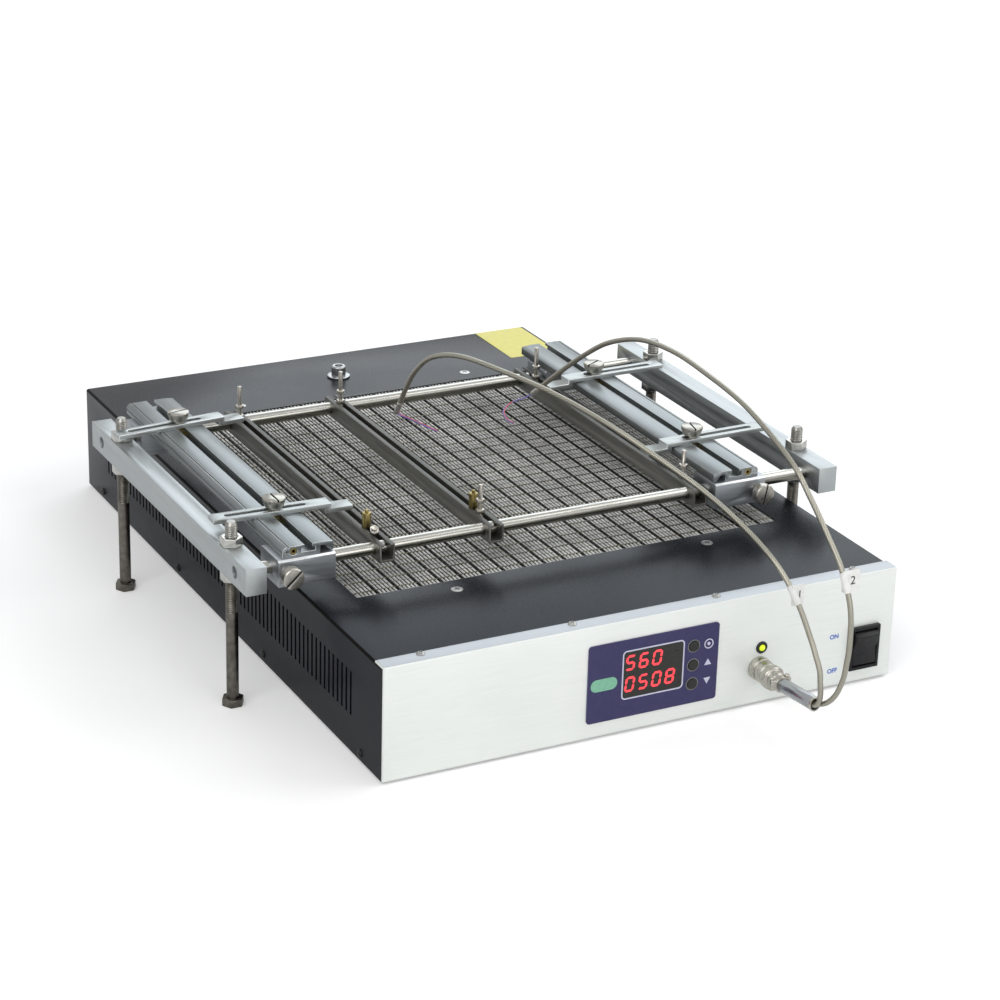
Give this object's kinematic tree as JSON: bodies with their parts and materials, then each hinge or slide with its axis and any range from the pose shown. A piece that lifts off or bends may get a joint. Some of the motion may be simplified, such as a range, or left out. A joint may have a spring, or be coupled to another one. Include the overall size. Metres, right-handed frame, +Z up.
{
  "type": "bga rework station",
  "caption": "Infrared board preheater with a mesh-topped casing, a free-standing sliding board holder with clamp arms, and a plug-in temperature sensor on stiff cables.",
  "frame": {"origin": "Middle of the object's footprint on the bench: midway between the outer faces of the two side bars and midway between the sensor socket's front and the mains inlet's back.", "axes": "+X along the front panel to the viewer's right, +Y from the front panel to the back, +Z up."},
  "size_m": [0.4372, 0.6189, 0.2038],
  "materials": {
    "steel_black": "satin",
    "zinc_steel": "satin",
    "panel_aluminium": "satin",
    "rubber_black": "matte",
    "screw_steel": "satin",
    "insulation": "matte",
    "reflector": "polished",
    "quartz": "satin",
    "ceramic_white": "matte",
    "mesh_wire": "satin",
    "circuit": "satin",
    "sink_aluminium": "satin",
    "plastic_black": "satin",
    "post_steel": "satin",
    "overlay_film": "satin",
    "digit_block": "satin",
    "led_lens": "gloss",
    "nickel": "satin",
    "bar_aluminium": "satin",
    "rod_steel": "polished",
    "leg_steel": "satin",
    "rail_aluminium": "satin",
    "brass": "satin",
    "knob_nickel": "satin",
    "arm_aluminium": "satin",
    "channel_steel": "matte",
    "stud_steel": "satin",
    "sleeve_metal": "satin",
    "cable_braid": "satin",
    "tag_paper": "matte",
    "wire_cover": "matte"
  },
  "bodies": {
    "base": {"bottom_tray": "zinc_steel", "top_cover": "steel_black", "front_panel": "panel_aluminium", "base_feet": "rubber_black", "base_screws": "screw_steel", "insulation_board": "insulation", "reflector_tray": "reflector", "heater_tubes": "quartz", "tube_holders": "ceramic_white", "mesh_grille": "mesh_wire", "control_board": "circuit", "heat_sink": "sink_aluminium", "mains_inlet": "plastic_black", "arm_post": "post_steel", "display_overlay": "overlay_film", "display_module": "digit_block", "status_led": "led_lens", "switch_bezel": "plastic_black", "sensor_socket": "nickel", "sensor_plug": "nickel", "plug_sleeve": "sleeve_metal", "sensor_cable_a": "cable_braid", "sensor_cable_b": "cable_braid", "cable_tags": "tag_paper", "probe_wires": "wire_cover"},
    "key_set": {"button_set": "plastic_black"},
    "key_up": {"button_up": "plastic_black"},
    "key_down": {"button_down": "plastic_black"},
    "rocker": {"switch_rocker": "plastic_black"},
    "holder": {"side_bars": "bar_aluminium", "guide_rods": "rod_steel", "lock_nuts": "screw_steel"},
    "leg_fl": {"leg_bolt_fl": "leg_steel"},
    "leg_fr": {"leg_bolt_fr": "leg_steel"},
    "leg_rl": {"leg_bolt_rl": "leg_steel"},
    "leg_rr": {"leg_bolt_rr": "leg_steel"},
    "left_carriage": {"left_blocks": "bar_aluminium", "left_rail": "rail_aluminium"},
    "right_carriage": {"right_blocks": "bar_aluminium", "right_rail": "rail_aluminium"},
    "left_lock": {"left_rod_lock": "knob_nickel"},
    "right_lock": {"right_rod_lock": "knob_nickel"},
    "left_channel": {"channel_left": "channel_steel", "posts_left": "stud_steel"},
    "middle_channel": {"channel_middle": "channel_steel", "posts_middle": "stud_steel"},
    "right_channel": {"channel_right": "channel_steel", "posts_right": "stud_steel"},
    "nut_lf": {"clamp_nut_lf": "brass"},
    "screw_lf": {"clamp_screw_lf": "knob_nickel"},
    "arm_lf": {"clamp_arm_lf": "arm_aluminium"},
    "nut_lr": {"clamp_nut_lr": "brass"},
    "screw_lr": {"clamp_screw_lr": "knob_nickel"},
    "arm_lr": {"clamp_arm_lr": "arm_aluminium"},
    "nut_rf": {"clamp_nut_rf": "brass"},
    "screw_rf": {"clamp_screw_rf": "knob_nickel"},
    "arm_rf": {"clamp_arm_rf": "arm_aluminium"},
    "nut_rr": {"clamp_nut_rr": "brass"},
    "screw_rr": {"clamp_screw_rr": "knob_nickel"},
    "arm_rr": {"clamp_arm_rr": "arm_aluminium"}
  },
  "joints": [
    {"name": "press_set", "type": "slide", "parent": "base", "child": "key_set", "axis": [0, 1, 0], "range_m": [0, 0.001], "stiffness_N_per_m": 400},
    {"name": "press_up", "type": "slide", "parent": "base", "child": "key_up", "axis": [0, 1, 0], "range_m": [0, 0.001], "stiffness_N_per_m": 400},
    {"name": "press_down", "type": "slide", "parent": "base", "child": "key_down", "axis": [0, 1, 0], "range_m": [0, 0.001], "stiffness_N_per_m": 400},
    {"name": "power_switch", "type": "hinge", "parent": "base", "child": "rocker", "pos_m": [0.1792, -0.26, 0.0269], "axis": [1, 0, 0], "range_deg": [-18, 0]},
    {"name": "holder_lift", "type": "slide", "parent": "base", "child": "holder", "axis": [0, 0, 1], "range_m": [0, 0.02]},
    {"name": "leg_height_fl", "type": "slide", "parent": "holder", "child": "leg_fl", "axis": [0, 0, 1], "range_m": [0, 0.012]},
    {"name": "leg_height_fr", "type": "slide", "parent": "holder", "child": "leg_fr", "axis": [0, 0, 1], "range_m": [0, 0.012]},
    {"name": "leg_height_rl", "type": "slide", "parent": "holder", "child": "leg_rl", "axis": [0, 0, 1], "range_m": [0, 0.012]},
    {"name": "leg_height_rr", "type": "slide", "parent": "holder", "child": "leg_rr", "axis": [0, 0, 1], "range_m": [0, 0.012]},
    {"name": "left_carriage_slide", "type": "slide", "parent": "holder", "child": "left_carriage", "axis": [1, 0, 0], "range_m": [-0.008, 0.012]},
    {"name": "right_carriage_slide", "type": "slide", "parent": "holder", "child": "right_carriage", "axis": [1, 0, 0], "range_m": [-0.001, 0.036]},
    {"name": "left_lock_turn", "type": "hinge", "parent": "left_carriage", "child": "left_lock", "pos_m": [-0.1879, -0.158, 0.103], "axis": [0, 1, 0], "range_deg": [-180, 180]},
    {"name": "right_lock_turn", "type": "hinge", "parent": "right_carriage", "child": "right_lock", "pos_m": [0.1568, -0.158, 0.103], "axis": [0, 1, 0], "range_deg": [-180, 180]},
    {"name": "left_channel_slide", "type": "slide", "parent": "holder", "child": "left_channel", "axis": [1, 0, 0], "range_m": [-0.012, 0.015]},
    {"name": "middle_channel_slide", "type": "slide", "parent": "holder", "child": "middle_channel", "axis": [1, 0, 0], "range_m": [-0.02, 0.004]},
    {"name": "right_channel_slide", "type": "slide", "parent": "holder", "child": "right_channel", "axis": [1, 0, 0], "range_m": [-0.008, 0.002]},
    {"name": "clamp_place_lf", "type": "slide", "parent": "left_carriage", "child": "nut_lf", "axis": [0, 1, 0], "range_m": [0, 0.05]},
    {"name": "clamp_swing_lf", "type": "hinge", "parent": "nut_lf", "child": "screw_lf", "pos_m": [-0.1722, -0.0995, 0.116], "axis": [0, 0, 1], "range_deg": [0, 10]},
    {"name": "clamp_reach_lf", "type": "slide", "parent": "screw_lf", "child": "arm_lf", "axis": [0.999, -0.0436, 0], "range_m": [-0.01, 0.02]},
    {"name": "clamp_place_lr", "type": "slide", "parent": "left_carriage", "child": "nut_lr", "axis": [0, 1, 0], "range_m": [-0.05, 0]},
    {"name": "clamp_swing_lr", "type": "hinge", "parent": "nut_lr", "child": "screw_lr", "pos_m": [-0.1722, 0.0687, 0.116], "axis": [0, 0, 1], "range_deg": [0, 4]},
    {"name": "clamp_reach_lr", "type": "slide", "parent": "screw_lr", "child": "arm_lr", "axis": [0.9965, 0.0837, 0], "range_m": [-0.008, 0.02]},
    {"name": "clamp_place_rf", "type": "slide", "parent": "right_carriage", "child": "nut_rf", "axis": [0, 1, 0], "range_m": [0, 0.05]},
    {"name": "clamp_swing_rf", "type": "hinge", "parent": "nut_rf", "child": "screw_rf", "pos_m": [0.1411, -0.096, 0.116], "axis": [0, 0, 1], "range_deg": [-10, 0]},
    {"name": "clamp_reach_rf", "type": "slide", "parent": "screw_rf", "child": "arm_rf", "axis": [-0.9998, -0.0175, 0], "range_m": [0, 0.02]},
    {"name": "clamp_place_rr", "type": "slide", "parent": "right_carriage", "child": "nut_rr", "axis": [0, 1, 0], "range_m": [-0.05, 0]},
    {"name": "clamp_swing_rr", "type": "hinge", "parent": "nut_rr", "child": "screw_rr", "pos_m": [0.1411, 0.0435, 0.116], "axis": [0, 0, 1], "range_deg": [-10, 0]},
    {"name": "clamp_reach_rr", "type": "slide", "parent": "screw_rr", "child": "arm_rr", "axis": [-0.9998, -0.0175, 0], "range_m": [-0.001, 0.008]}
  ]
}
